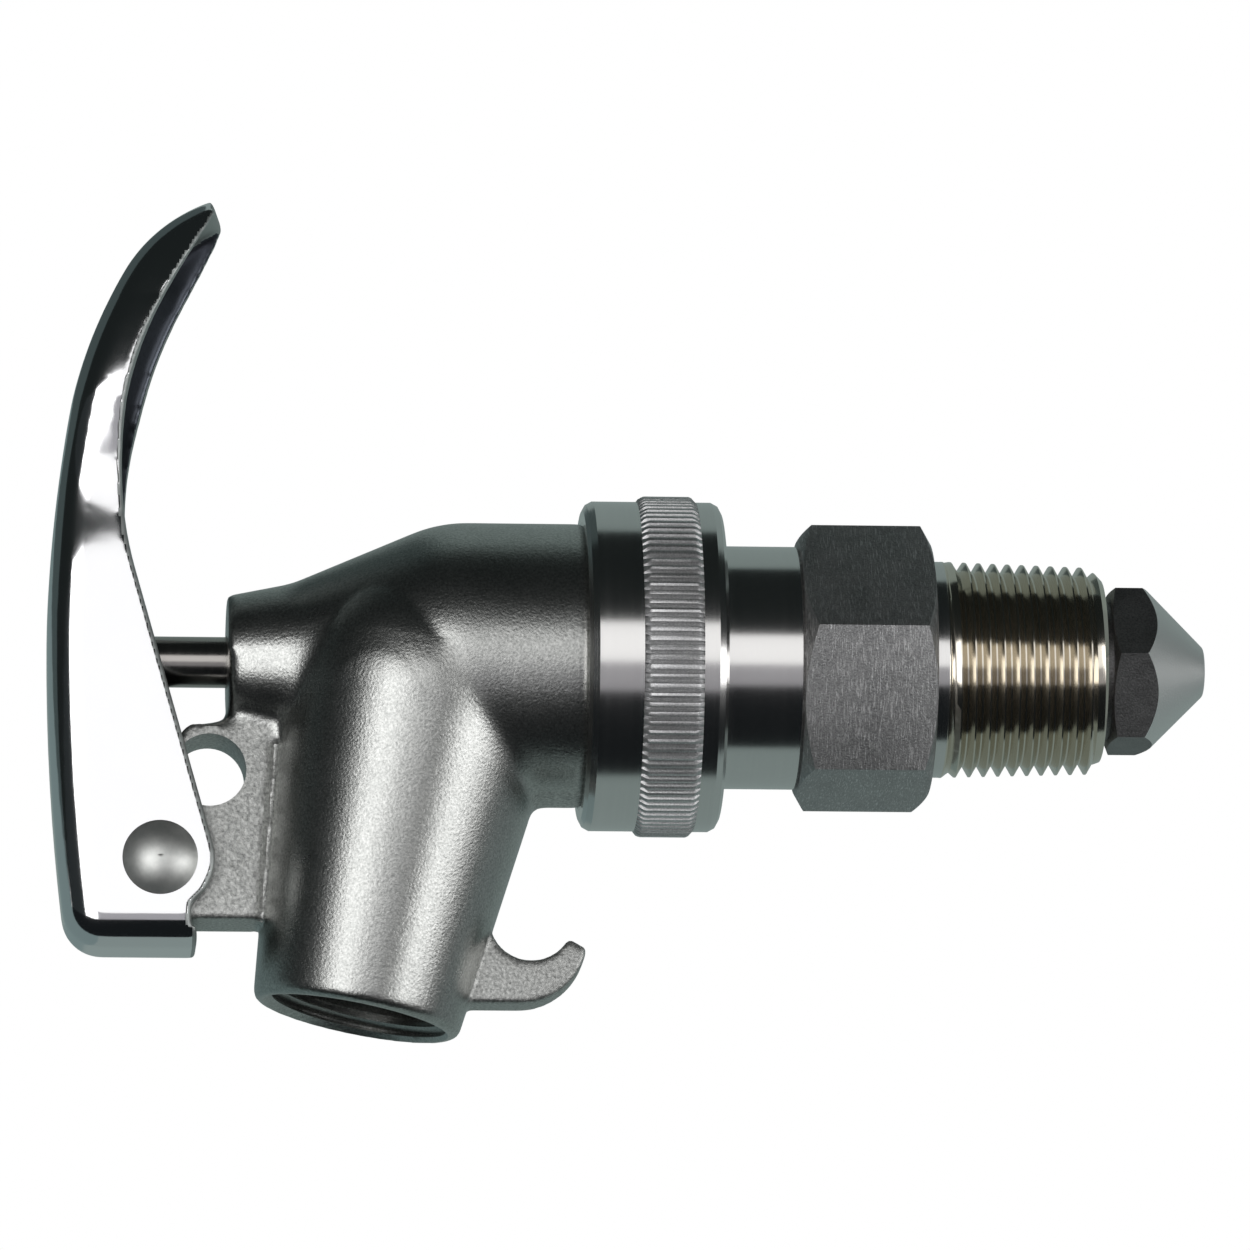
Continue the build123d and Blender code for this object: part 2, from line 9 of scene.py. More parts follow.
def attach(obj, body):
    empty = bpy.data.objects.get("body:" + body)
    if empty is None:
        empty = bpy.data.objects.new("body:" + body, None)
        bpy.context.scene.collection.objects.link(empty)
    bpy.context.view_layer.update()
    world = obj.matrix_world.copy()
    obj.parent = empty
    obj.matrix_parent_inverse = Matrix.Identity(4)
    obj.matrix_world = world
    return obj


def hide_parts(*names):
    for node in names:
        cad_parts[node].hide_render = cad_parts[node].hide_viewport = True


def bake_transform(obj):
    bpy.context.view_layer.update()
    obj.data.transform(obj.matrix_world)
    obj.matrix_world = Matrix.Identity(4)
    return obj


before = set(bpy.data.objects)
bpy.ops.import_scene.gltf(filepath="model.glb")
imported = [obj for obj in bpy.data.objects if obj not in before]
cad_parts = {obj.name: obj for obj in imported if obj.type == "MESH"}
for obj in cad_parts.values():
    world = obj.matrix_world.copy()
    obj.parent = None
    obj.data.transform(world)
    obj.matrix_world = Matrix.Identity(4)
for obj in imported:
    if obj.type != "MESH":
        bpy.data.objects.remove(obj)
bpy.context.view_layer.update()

mm = 0.001

# Inlet shank, turned from one hexagonal bar of stainless steel: a smooth neck, the wrench
# hexagon left as it was drawn, and a taper pipe thread. It screws into the drum's opening.
neck_end = -32.5
neck_radius = 15.15
neck_edge = 0.4
neck_foot_edge = 0.35
groove_start = -31.5
groove_end = -29.9
groove_radius = 14.25
hex_start = -16.4
hex_flats = 31.75
hex_turn = radians(5.9)
hex_corner = hex_flats / sqrt(3)
hex_chamfer = (hex_corner - hex_flats / 2) * tan(radians(30))
hex_edge = 0.18
hex_edge_angle = 20
hex_overlap = 0.02
core_wall = 0.5
cut_past = 1
inlet_bore = 8.5
seat_bore = 7.6
seat_start = 17.2
seat_face = 20.2
seat_recess = 9.2
shank_end = 21.6
pipe_pitch = 1.8143
pipe_depth = 1.25
pipe_crest = 13.39
pipe_crest_place = 5.7
pipe_taper = 1 / 32
pipe_start = 1.6
pipe_run_out = 2.2
pipe_chamfer_start = 20.1
pipe_collar_rise = 0.1
pipe_collar_end = pipe_start + 0.2
pipe_collar_fall = 0.3
pipe_collar_foot = pipe_start + 0.45
root_flat = 0.1
crest_from = 0.5
crest_to = 0.6
spare_turns = 2
weld_gap = 1e-6
fine_weld_gap = 1e-7
bright_colour = (0.74, 0.73, 0.72)
plain_colour = (0.58, 0.58, 0.58)
dulled_share = 0.86
# Warm tone of the cut thread: painted warm reflection of the surroundings.
thread_colour_with_warm_reflection = (0.74, 0.69, 0.60)
scratch_colour = (0.85, 0.85, 0.85)
bar_dark = 0.16
bar_light = 0.54
bar_scratches = 0.50


def turned(profile, steps=128):
    """A solid turned round the inlet's axis from a closed profile of (place, radius) points in mm."""
    bm = bmesh.new()
    verts = [bm.verts.new((place * mm, 0, radius * mm)) for place, radius in profile]
    edges = [bm.edges.new(pair) for pair in zip(verts, verts[1:] + verts[:1])]
    bmesh.ops.spin(
        bm, geom=verts + edges, cent=(0, 0, 0), axis=(1, 0, 0), angle=2 * pi, steps=steps, use_merge=True
    )
    bmesh.ops.remove_doubles(bm, verts=bm.verts, dist=fine_weld_gap)
    bmesh.ops.recalc_face_normals(bm, faces=bm.faces)
    return bm


def break_edges(bm, width, least_angle):
    """Round every edge that is sharper than an angle in degrees."""
    sharp = [edge for edge in bm.edges if edge.calc_face_angle(0) > radians(least_angle)]
    bmesh.ops.bevel(
        bm, geom=sharp, offset=width * mm, segments=2, affect="EDGES", profile=0.5, material=-1,
        clamp_overlap=True,
    )


def screw_solid(start, end, pitch, root, crest, steps=96):
    """A closed threaded cylinder round the inlet's axis, before taper and run-out, in mm."""
    bm = bmesh.new()
    form = ((0.0, root), (root_flat, root), (crest_from, crest), (crest_to, crest))
    last_turn = int((end - start) / pitch) + spare_turns
    verts = [
        bm.verts.new(((start + (turn + part) * pitch) * mm, 0, radius * mm))
        for turn in range(-spare_turns, last_turn)
        for part, radius in form
    ]
    edges = [bm.edges.new(pair) for pair in zip(verts, verts[1:])]
    bmesh.ops.spin(
        bm, geom=verts + edges, cent=(0, 0, 0), axis=(1, 0, 0), angle=2 * pi, steps=steps,
        dvec=(pitch * mm / steps, 0, 0),
    )
    bmesh.ops.remove_doubles(bm, verts=bm.verts, dist=weld_gap)
    for place, normal in ((start, (-1, 0, 0)), (end, (1, 0, 0))):
        bmesh.ops.bisect_plane(
            bm, geom=bm.verts[:] + bm.edges[:] + bm.faces[:], plane_co=(place * mm, 0, 0), plane_no=normal,
            clear_outer=True,
        )
    rim = [edge for edge in bm.edges if edge.is_boundary]
    bmesh.ops.holes_fill(bm, edges=rim, sides=0)
    bmesh.ops.recalc_face_normals(bm, faces=bm.faces)
    return bm


def loose_solid(bm, name):
    """An object for a solid that is still to be joined or cut."""
    mesh = bpy.data.meshes.new(name)
    bm.to_mesh(mesh)
    bm.free()
    piece = bpy.data.objects.new(name, mesh)
    bpy.context.scene.collection.objects.link(piece)
    return piece


def apply_changes(piece):
    """Make a piece's modifiers part of its mesh."""
    shown = piece.evaluated_get(bpy.context.evaluated_depsgraph_get())
    mesh = bpy.data.meshes.new_from_object(shown)
    piece.modifiers.clear()
    piece.data = mesh


def worked(piece, bm, how):
    """Join, cut or trim a piece with a second solid, which is used up."""
    tool = loose_solid(bm, "tool")
    change = piece.modifiers.new("worked", "BOOLEAN")
    change.operation = how
    change.solver = "EXACT"
    change.object = tool
    apply_changes(piece)
    bpy.data.objects.remove(tool)


def covered(piece, material):
    """Shade a piece smoothly and give it one material."""
    for face in piece.data.polygons:
        face.use_smooth = True
    piece.data.materials.clear()
    piece.data.materials.append(material)


def finished(piece, material, body, nodes=(), sharp_angle=32):
    """Cover a piece, keep its sharp edges, tie it to its body and hide the CAD nodes it stands for."""
    covered(piece, material)
    piece.data.set_sharp_from_angle(angle=radians(sharp_angle))
    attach(piece, body)
    if nodes:
        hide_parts(*nodes)


def partly_covered(piece, material, chosen):
    """Give a further material to the faces that a test picks."""
    piece.data.materials.append(material)
    for face in piece.data.polygons:
        if chosen(face):
            face.material_index = len(piece.data.materials) - 1


def add_node(tree, kind, links=None, settings=None, **values):
    """Add a node with its settings and socket values, and link outputs of other nodes to it."""
    made = tree.nodes.new(kind)
    for key, value in (settings or {}).items():
        setattr(made, key, value)
    for key, value in values.items():
        made.inputs[key.replace("_", " ")].default_value = value
    for key, output in (links or {}).items():
        tree.links.new(output, made.inputs[key])
    return made


def math_node(tree, operation, first, second=None):
    """A Math node of two outputs or numbers, and its result."""
    made = tree.nodes.new("ShaderNodeMath")
    made.operation = operation
    for socket, value in zip(made.inputs, (first, second)):
        if isinstance(value, (int, float)):
            socket.default_value = value
        elif value is not None:
            tree.links.new(value, socket)
    return made.outputs[0]


def new_effect(name, inputs, outputs):
    """An empty node group with named number inputs and outputs."""
    group = bpy.data.node_groups.new(name, "ShaderNodeTree")
    for key, value in inputs.items():
        socket = group.interface.new_socket(name=key, in_out="INPUT", socket_type="NodeSocketFloat")
        socket.default_value = value
    for key in outputs:
        group.interface.new_socket(name=key, in_out="OUTPUT", socket_type="NodeSocketFloat")
    return group, group.nodes.new("NodeGroupInput").outputs, group.nodes.new("NodeGroupOutput").inputs


def lathe_lines_effect():
    """Fine rings left by a lathe tool, on cylinders and on end faces alike."""
    group, given, out = new_effect("lathe lines", {"Lines per mm": 4.0}, ("Height", "Shine"))
    place = add_node(group, "ShaderNodeTexCoord").outputs["Object"]
    parts = add_node(group, "ShaderNodeSeparateXYZ", {"Vector": place}).outputs
    radius = math_node(
        group, "SQRT", math_node(
            group, "ADD", math_node(group, "MULTIPLY", parts["Y"], parts["Y"]),
            math_node(group, "MULTIPLY", parts["Z"], parts["Z"]),
        ),
    )
    along = math_node(group, "MULTIPLY", math_node(group, "ADD", parts["X"], radius), 1000.0)
    scaled = math_node(group, "MULTIPLY", along, given["Lines per mm"])
    fine = add_node(
        group, "ShaderNodeTexNoise", {"W": scaled}, {"noise_dimensions": "1D"}, Scale=1.0, Detail=3.0
    )
    wide = add_node(
        group, "ShaderNodeTexNoise", {"W": along}, {"noise_dimensions": "1D"}, Scale=0.9, Detail=1.0
    )
    patches = add_node(group, "ShaderNodeTexNoise", {"Vector": place}, Scale=220.0, Detail=3.0)
    group.links.new(math_node(group, "SUBTRACT", fine.outputs["Fac"], 0.5), out["Height"])
    mixed = math_node(group, "ADD", fine.outputs["Fac"], wide.outputs["Fac"])
    mixed = math_node(group, "ADD", mixed, patches.outputs["Fac"])
    group.links.new(math_node(group, "DIVIDE", mixed, 3.0), out["Shine"])
    return group


def scratches_effect():
    """Sparse fine scratches and rubbed patches, all over a handled surface."""
    group, given, out = new_effect("handling marks", {"Amount": 1.0}, ("Height", "Rub"))
    place = add_node(group, "ShaderNodeTexCoord").outputs["Object"]
    marks = None
    for turn, stretch in ((0.4, 3.0), (-0.7, 5.0), (1.3, 4.0)):
        laid = add_node(group, "ShaderNodeMapping", {"Vector": place})
        laid.inputs["Rotation"].default_value = (turn, 0.5 * turn, 0.3 * turn)
        laid.inputs["Scale"].default_value = (260.0 * stretch, 260.0, 90.0)
        streak = add_node(group, "ShaderNodeTexNoise", {"Vector": laid.outputs[0]}, Scale=1.0, Detail=2.0)
        peak = add_node(
            group, "ShaderNodeMapRange", {"Value": streak.outputs["Fac"]}, From_Min=0.66, From_Max=0.74
        )
        value = peak.outputs[0]
        marks = value if marks is None else math_node(group, "MAXIMUM", marks, value)
    rub = add_node(group, "ShaderNodeTexNoise", {"Vector": place}, Scale=130.0, Detail=5.0)
    group.links.new(math_node(group, "MULTIPLY", marks, given["Amount"]), out["Height"])
    group.links.new(rub.outputs["Fac"], out["Rub"])
    return group


lathe_lines = lathe_lines_effect()
handling_marks = scratches_effect()


def between(tree, factor, low, high):
    """A value that goes from low to high with a factor of 0 to 1."""
    made = add_node(tree, "ShaderNodeMapRange", {"Value": factor}, To_Min=low, To_Max=high)
    return made.outputs[0]


def mixed_tones(tree, factor, dark, light):
    """A colour that goes from dark to light with a factor of 0 to 1."""
    tone = add_node(tree, "ShaderNodeMix", {"Factor": factor}, {"data_type": "RGBA"})
    tone.inputs["A"].default_value = (*dark, 1)
    tone.inputs["B"].default_value = (*light, 1)
    return tone.outputs["Result"]


def new_finish(name, metallic=1.0):
    """A material for metal or for other stuff, its node tree and its shader."""
    material = bpy.data.materials.new(name)
    material.use_nodes = True
    tree = material.node_tree
    shader = tree.nodes["Principled BSDF"]
    shader.inputs["Metallic"].default_value = metallic
    return material, tree, shader


def raised(tree, shader, height, depth):
    """Give a shader a relief from a height of about 0 to 1 and a depth in mm."""
    bump = add_node(tree, "ShaderNodeBump", {"Height": height}, Strength=1.0, Distance=depth * mm)
    tree.links.new(bump.outputs[0], shader.inputs["Normal"])


def turned_metal(name, colour, rough_low, rough_high, lines_per_mm, depth):
    """Steel off a lathe: rings in its gloss and relief, with a few handling marks."""
    material, tree, shader = new_finish(name)
    rings = add_node(tree, "ShaderNodeGroup", settings={"node_tree": lathe_lines}, Lines_per_mm=lines_per_mm)
    marked = add_node(tree, "ShaderNodeGroup", settings={"node_tree": handling_marks}, Amount=0.2)
    dulled = [dulled_share * part for part in colour]
    tone = mixed_tones(tree, rings.outputs["Shine"], dulled, colour)
    tree.links.new(tone, shader.inputs["Base Color"])
    tree.links.new(between(tree, rings.outputs["Shine"], rough_low, rough_high), shader.inputs["Roughness"])
    relief = math_node(tree, "SUBTRACT", rings.outputs["Height"], marked.outputs["Height"])
    raised(tree, shader, relief, depth)
    return material


bright_turned = turned_metal("bright turned steel", bright_colour, 0.12, 0.24, lines_per_mm=5.0, depth=0.004)
plain_turned = turned_metal("plain turned steel", plain_colour, 0.25, 0.45, lines_per_mm=3.0, depth=0.006)


def streaks(tree, place, turn, least):
    """Long thin marks that lie at an angle across the faces seen from the front."""
    laid = add_node(tree, "ShaderNodeMapping", {"Vector": place})
    laid.inputs["Rotation"].default_value = (0, turn, 0)
    laid.inputs["Scale"].default_value = (7500.0, 900.0, 520.0)
    noise = add_node(tree, "ShaderNodeTexNoise", {"Vector": laid.outputs[0]}, Scale=1.0, Detail=2.0)
    peak = add_node(
        tree, "ShaderNodeMapRange", {"Value": noise.outputs["Fac"]}, From_Min=least, From_Max=least + 0.12
    )
    return peak.outputs[0]


def bar_metal(name, dark, light, scratched):
    """Drawn bar steel: matt and speckled, crossed by fine bright scratches."""
    material, tree, shader = new_finish(name)
    place = add_node(tree, "ShaderNodeTexCoord").outputs["Object"]
    grain = add_node(tree, "ShaderNodeTexNoise", {"Vector": place}, Scale=4200.0, Detail=3.0)
    patches = add_node(tree, "ShaderNodeTexNoise", {"Vector": place}, Scale=300.0, Detail=5.0)
    scratch = math_node(tree, "MAXIMUM", streaks(tree, place, 0.62, 0.56), streaks(tree, place, -0.12, 0.62))
    scratch = math_node(tree, "MAXIMUM", scratch, streaks(tree, place, -0.8, 0.66))
    scratch = math_node(tree, "MULTIPLY", scratch, scratched)
    drawn = mixed_tones(tree, grain.outputs["Fac"], (dark, dark, 1.02 * dark), (light, light, light))
    marked = add_node(tree, "ShaderNodeMix", {"Factor": scratch, "A": drawn}, {"data_type": "RGBA"})
    marked.inputs["B"].default_value = (*scratch_colour, 1)
    tree.links.new(marked.outputs["Result"], shader.inputs["Base Color"])
    tree.links.new(between(tree, patches.outputs["Fac"], 0.36, 0.56), shader.inputs["Roughness"])
    raised(tree, shader, math_node(tree, "SUBTRACT", grain.outputs["Fac"], scratch), 0.04)
    return material


drawn_hexagon = bar_metal("drawn hexagon steel", bar_dark, bar_light, bar_scratches)


def pipe_thread_solid():
    """The taper thread: crests fall by the taper, roots rise at the run-out, the end is chamfered."""
    bm = screw_solid(pipe_start, shank_end, pipe_pitch, pipe_crest - pipe_depth, pipe_crest)
    for vert in bm.verts:
        place = vert.co.x / mm
        radius = hypot(vert.co.y, vert.co.z) / mm
        fall = (place - pipe_crest_place) * pipe_taper
        crest = pipe_crest - fall
        cut_in = min(1, max(0, (place - pipe_start) / pipe_run_out))
        lowest = crest - pipe_depth * cut_in
        highest = crest - max(0, place - pipe_chamfer_start)
        wanted = min(max(radius - fall, lowest), highest)
        vert.co.y *= wanted / radius
        vert.co.z *= wanted / radius
    return bm


def hexagon_solid():
    """The wrench hexagon, one corner turned a little above the level on the near side."""
    bm = bmesh.new()
    corner = bm.verts.new(
        (hex_start * mm, -hex_corner * cos(hex_turn) * mm, hex_corner * sin(hex_turn) * mm)
    )
    bmesh.ops.spin(
        bm, geom=[corner], cent=(0, 0, 0), axis=(1, 0, 0), angle=2 * pi, steps=6, use_merge=True
    )
    bmesh.ops.remove_doubles(bm, verts=bm.verts, dist=weld_gap)
    face = bmesh.ops.contextual_create(bm, geom=bm.edges[:])["faces"]
    grown = bmesh.ops.extrude_face_region(bm, geom=face)["geom"]
    grown_verts = [part for part in grown if isinstance(part, bmesh.types.BMVert)]
    bmesh.ops.translate(bm, verts=grown_verts, vec=(-hex_start * mm, 0, 0))
    bmesh.ops.recalc_face_normals(bm, faces=bm.faces)
    return bm


shank = loose_solid(hexagon_solid(), "shank_hexagon")
worked(shank, turned([
    (hex_start, 0), (hex_start, hex_flats / 2), (hex_start + hex_chamfer, hex_corner),
    (-hex_chamfer, hex_corner), (0, hex_flats / 2), (0, 0),
]), "INTERSECT")
hexagon_bm = bmesh.new()
hexagon_bm.from_mesh(shank.data)
break_edges(hexagon_bm, hex_edge, hex_edge_angle)
hexagon_bm.to_mesh(shank.data)
hexagon_bm.free()
worked(shank, turned([
    (hex_start - cut_past, 0), (hex_start - cut_past, inlet_bore), (cut_past, inlet_bore), (cut_past, 0),
]), "DIFFERENCE")
finished(shank, drawn_hexagon, "shank")

threaded = loose_solid(pipe_thread_solid(), "shank_neck_and_thread")
neck_bm = turned([
    (neck_end, 0), (neck_end, neck_radius - neck_edge), (neck_end + neck_edge, neck_radius),
    (groove_start, neck_radius), (groove_start, groove_radius), (groove_end, groove_radius),
    (groove_end, neck_radius), (hex_start - neck_foot_edge, neck_radius),
    (hex_start, neck_radius - neck_foot_edge),
    (hex_start + hex_overlap, inlet_bore + core_wall), (-hex_overlap, inlet_bore + core_wall),
    (0, pipe_crest + pipe_collar_rise), (pipe_collar_end, pipe_crest + pipe_collar_rise),
    (pipe_collar_foot, pipe_crest - pipe_collar_fall), (pipe_collar_foot, 0),
])
worked(threaded, neck_bm, "UNION")
worked(threaded, turned([
    (neck_end - cut_past, 0), (neck_end - cut_past, inlet_bore), (seat_start, inlet_bore),
    (seat_start, seat_bore), (seat_face, seat_bore), (seat_face, seat_recess),
    (shank_end + cut_past, seat_recess), (shank_end + cut_past, 0),
]), "DIFFERENCE")
finished(threaded, bright_turned, "shank", ["inlet_shank"])
# The thread is the shank's own steel, smoother than the neck; its warm yellowish tone is a painted warm
# reflection.
cut_thread_with_warm_reflection = turned_metal("cut thread steel", thread_colour_with_warm_reflection, 0.10, 0.20, lines_per_mm=5.0, depth=0.003)
partly_covered(threaded, cut_thread_with_warm_reflection, lambda face: face.center.x / mm > pipe_start)

# Union nut, turned from stainless bar, with a band of straight knurling rolled between two
# smooth bands. It turns freely on the neck and draws the body against the shank.
nut_start = -43.4
nut_end = -26.2
nut_radius = 20.55
nut_edge = 1.2
nut_edge_middle = 0.35 * nut_edge
nut_mouth_edge = 0.6
nut_bore = 17.45
nut_lip_start = -28.7
nut_lip_bore = 15.35
knurl_start = -36.0
knurl_end = -30.0
knurl_radius = 21.25
knurl_foot = nut_radius + 0.02
knurl_slope = 0.7
knurl_edge_out = 0.15
knurl_edge_in = 0.2
knurl_teeth = 112
knurl_depth = 0.65
knurl_shift = 0.12
knurl_seed = 7
shallowest_tooth = 0.85
deepest_tooth = 1.1
tooth_form = (1.0, 0.12, 0.0, 0.12)
steps_per_tooth = len(tooth_form)
knurl_dark = 0.36
knurl_light = 0.90


def knurled_nut():
    """The nut's solid, with its raised band pressed into teeth."""
    dice = random.Random(knurl_seed)
    bm = turned([
        (nut_start, nut_bore + nut_mouth_edge), (nut_start, nut_radius - nut_edge),
        (nut_start + nut_edge_middle, nut_radius - nut_edge_middle), (nut_start + nut_edge, nut_radius),
        (knurl_start - knurl_slope, nut_radius),
        (knurl_start - knurl_edge_out, knurl_radius - knurl_edge_out),
        (knurl_start + knurl_edge_in, knurl_radius), (knurl_end - knurl_edge_in, knurl_radius),
        (knurl_end + knurl_edge_out, knurl_radius - knurl_edge_out),
        (knurl_end + knurl_slope, nut_radius),
        (nut_end - nut_edge, nut_radius), (nut_end - nut_edge_middle, nut_radius - nut_edge_middle),
        (nut_end, nut_radius - nut_edge), (nut_end, nut_lip_bore), (nut_lip_start, nut_lip_bore),
        (nut_lip_start, nut_bore), (nut_start + nut_mouth_edge, nut_bore),
    ], knurl_teeth * steps_per_tooth)
    depths = [
        knurl_depth * dice.uniform(shallowest_tooth, deepest_tooth) for tooth in range(knurl_teeth)
    ]
    shifts = [dice.uniform(-knurl_shift, knurl_shift) for tooth in range(knurl_teeth)]
    for vert in bm.verts:
        radius = hypot(vert.co.y, vert.co.z) / mm
        if radius > knurl_foot:
            step = round(atan2(vert.co.z, vert.co.y) / (2 * pi) * knurl_teeth * steps_per_tooth)
            tooth, part = divmod(step % (knurl_teeth * steps_per_tooth), steps_per_tooth)
            wanted = radius - tooth_form[part] * depths[tooth]
            vert.co.y *= wanted / radius
            vert.co.z *= wanted / radius
            vert.co.x += shifts[tooth] * mm
    return bm


nut = loose_solid(knurled_nut(), "union_nut_knurled")
finished(nut, bright_turned, "nut", ["union_nut"], 28)
rolled_knurl = bar_metal("rolled knurl steel", knurl_dark, knurl_light, scratched=0.0)
partly_covered(nut, rolled_knurl, lambda face: hypot(face.center.y, face.center.z) / mm > knurl_foot)

# Split ring and thrust ring under the nut's lip, stamped and turned in steel. The split ring
# sits in the neck's groove and holds the nut on the shank. The frame's own solids are right.


def dressed(material, *node_names):
    """Give a material to solids of the frame that stay as they are."""
    for node_name in node_names:
        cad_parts[node_name].data.materials[0] = material


dressed(plain_turned, "split_ring", "thrust_ring")

# Cast body in stainless steel, blasted to a grainy satin: boss, shoulder, barrel, spout, pivot
# lug and bucket hook in one casting with soft blends, then bored, faced and threaded.
body_rear = -34.0
barrel_step = -43.7
barrel_radius = 17.7
barrel_thread_radius = 17.4
boss_face = -87.5
boss_radius = 8.3
boss_edge = 0.6
boss_foot = -79.5
boss_foot_radius = 9.9
boss_foot_round = 1.3
shoulder_end = -61.2
shoulder_round = 3.6
spout_top = -62.5
spout_tilt = radians(11.2)
spout_length = 45.6
spout_slope = tan(radians(6.6))
mouth_radius = 12.9
mouth_round = 1.1
dome_drop = 4.0
dome_radius = mouth_radius + (spout_length - dome_drop) * spout_slope
lug_half = 5.0
pivot_x = -95.75
pivot_z = -26.0
lug_lobe = 7.2
lug_corner_x = -91.0
lug_corner_z = -11.0
lug_corner = 2.5
lug_top = -7.0
lug_bottom = -33.2
lug_root_x = -67.65
lug_shoulder_x = lug_root_x - 12.9
eye_x = -89.65
eye_z = -14.5
eye_radius = 4.55
lobe_arc = (0, 345, 46)
corner_arc = (0, 345, 23)
throat_arc = (200, 332, 14)
hook_back_arc = (-10, -90, 14)
hole_arc = (0, 354.375, 63)
hook_half = 3.25
throat_x = -49.7
throat_z = -32.5
throat_radius = 5.2
hook_back_x = -51.2
hook_back_z = -34.7
hook_back_radius = 8.5
hook_root_x = -64.0
casting_grid = 0.42
casting_passes = 3
joint_passes = 30
joint_reach = 2.2
seam_width = 1.5
seam_depth = 0.55
seam_from = lug_half - 1
plate_gap = 0.2
plate_slack = 0.1
plate_top = lug_top - 1
chamber_start = -69.5
chamber_radius = 12.5
chamber_round = 4.0
guide_seat_start = -34.9
guide_seat_radius = 13.4
stuffing_start = -84.5
stuffing_radius = 5.6
stem_hole = 3.375
spout_bore = 9.2
screen_seat_start = 33.1
screen_seat_radius = 10.0
outlet_start = 36.6
outlet_root = 10.5
outlet_crest = 11.5
outlet_overlap = 0.5
flare_depth = 1.2
flare_width = 0.3
flare_rise = 0.1
rivet_hole = 3.05
round_steps = 6
cast_steps = 96

spout_frame = Matrix.Translation((spout_top * mm, 0, 0)) @ Matrix.Rotation(pi / 2 + spout_tilt, 4, "Y")


def arc_points(centre_x, centre_z, radius, first, last, count):
    """Points of an arc, seen from the side, from a first to a last angle in degrees."""
    return [
        (centre_x + radius * cos(radians(first + (last - first) * part / count)),
         centre_z + radius * sin(radians(first + (last - first) * part / count)))
        for part in range(count + 1)
    ]


def plate_solid(outline, half):
    """A plate of even thickness from an outline of (x, z) points in mm."""
    bm = bmesh.new()
    verts = [bm.verts.new((x * mm, -half * mm, z * mm)) for x, z in outline]
    face = bm.faces.new(verts)
    grown = bmesh.ops.extrude_face_region(bm, geom=[face])["geom"]
    grown_verts = [part for part in grown if isinstance(part, bmesh.types.BMVert)]
    bmesh.ops.translate(bm, verts=grown_verts, vec=(0, 2 * half * mm, 0))
    bmesh.ops.recalc_face_normals(bm, faces=bm.faces)
    return bm


def hull_plate(outline, half):
    """A plate whose outline is the tight band round the given points."""
    bm = bmesh.new()
    for x, z in outline:
        for side in (-half, half):
            bm.verts.new((x * mm, side * mm, z * mm))
    made = bmesh.ops.convex_hull(bm, input=bm.verts[:])
    inside = [part for part in made["geom_interior"] if isinstance(part, bmesh.types.BMVert)]
    bmesh.ops.delete(bm, geom=inside, context="VERTS")
    bmesh.ops.recalc_face_normals(bm, faces=bm.faces)
    return bm


def round_profile(points, rounds):
    """A profile's points with chosen corners rounded by short curves."""
    made = []
    for place, point in enumerate(points):
        reach = rounds.get(place)
        if reach is None:
            made.append(point)
            continue
        corner = Vector(point)
        before = corner + (Vector(points[place - 1]) - corner).normalized() * reach
        after = corner + (Vector(points[place + 1]) - corner).normalized() * reach
        for part in range(round_steps + 1):
            share = part / round_steps
            bend = before * (1 - share) ** 2 + corner * 2 * share * (1 - share) + after * share ** 2
            made.append((bend.x, bend.y))
    return made


def casting_solids():
    """The casting's forms as overlapping solids: boss and barrel, spout, dome, lug and hook."""
    barrel = turned(round_profile([
        (boss_face, 0), (boss_face, boss_radius), (boss_foot, boss_foot_radius),
        (shoulder_end, barrel_radius), (barrel_step, barrel_radius),
        (barrel_step, barrel_thread_radius), (body_rear, barrel_thread_radius), (body_rear, 0),
    ], {1: boss_edge, 2: boss_foot_round, 3: shoulder_round}), cast_steps)
    spout = turned(round_profile([
        (dome_drop, 0), (dome_drop, dome_radius), (spout_length, mouth_radius), (spout_length, 0),
    ], {2: mouth_round}), cast_steps)
    bmesh.ops.transform(spout, matrix=spout_frame, verts=spout.verts)
    dome = bmesh.new()
    bmesh.ops.create_uvsphere(
        dome, u_segments=64, v_segments=32, radius=dome_radius * mm,
        matrix=spout_frame @ Matrix.Translation((dome_drop * mm, 0, 0)),
    )
    lug = hull_plate(
        arc_points(pivot_x, pivot_z, lug_lobe, *lobe_arc)
        + arc_points(lug_corner_x, lug_corner_z, lug_corner, *corner_arc)
        + [(lug_root_x, lug_top), (lug_root_x, lug_bottom),
           (lug_shoulder_x, lug_top), (lug_shoulder_x, lug_bottom)],
        lug_half,
    )
    hook = plate_solid(
        arc_points(throat_x, throat_z, throat_radius, *throat_arc)
        + arc_points(hook_back_x, hook_back_z, hook_back_radius, *hook_back_arc)
        + [(hook_root_x, hook_back_z - hook_back_radius), (hook_root_x, throat_z)],
        hook_half,
    )
    return barrel, spout, dome, lug, hook


def spout_place(point):
    """How far down the spout a point lies and how far it stands off the spout's skin, in mm."""
    local = spout_frame.inverted() @ point
    down = local.x / mm
    return down, hypot(local.y, local.z) / mm - (mouth_radius + (spout_length - down) * spout_slope)


def barrel_outline(place):
    """The radius of boss, shoulder or barrel at a place along the inlet's axis."""
    if place < boss_foot:
        share = (place - boss_face) / (boss_foot - boss_face)
        return boss_radius + (boss_foot_radius - boss_radius) * share
    share = min(1, (place - boss_foot) / (shoulder_end - boss_foot))
    return boss_foot_radius + (barrel_radius - boss_foot_radius) * share


def smoothed(bm, verts, passes):
    """Even out a skin, pass by pass."""
    for turn in range(passes):
        bmesh.ops.smooth_vert(
            bm, verts=verts, factor=0.5, use_axis_x=True, use_axis_y=True, use_axis_z=True
        )


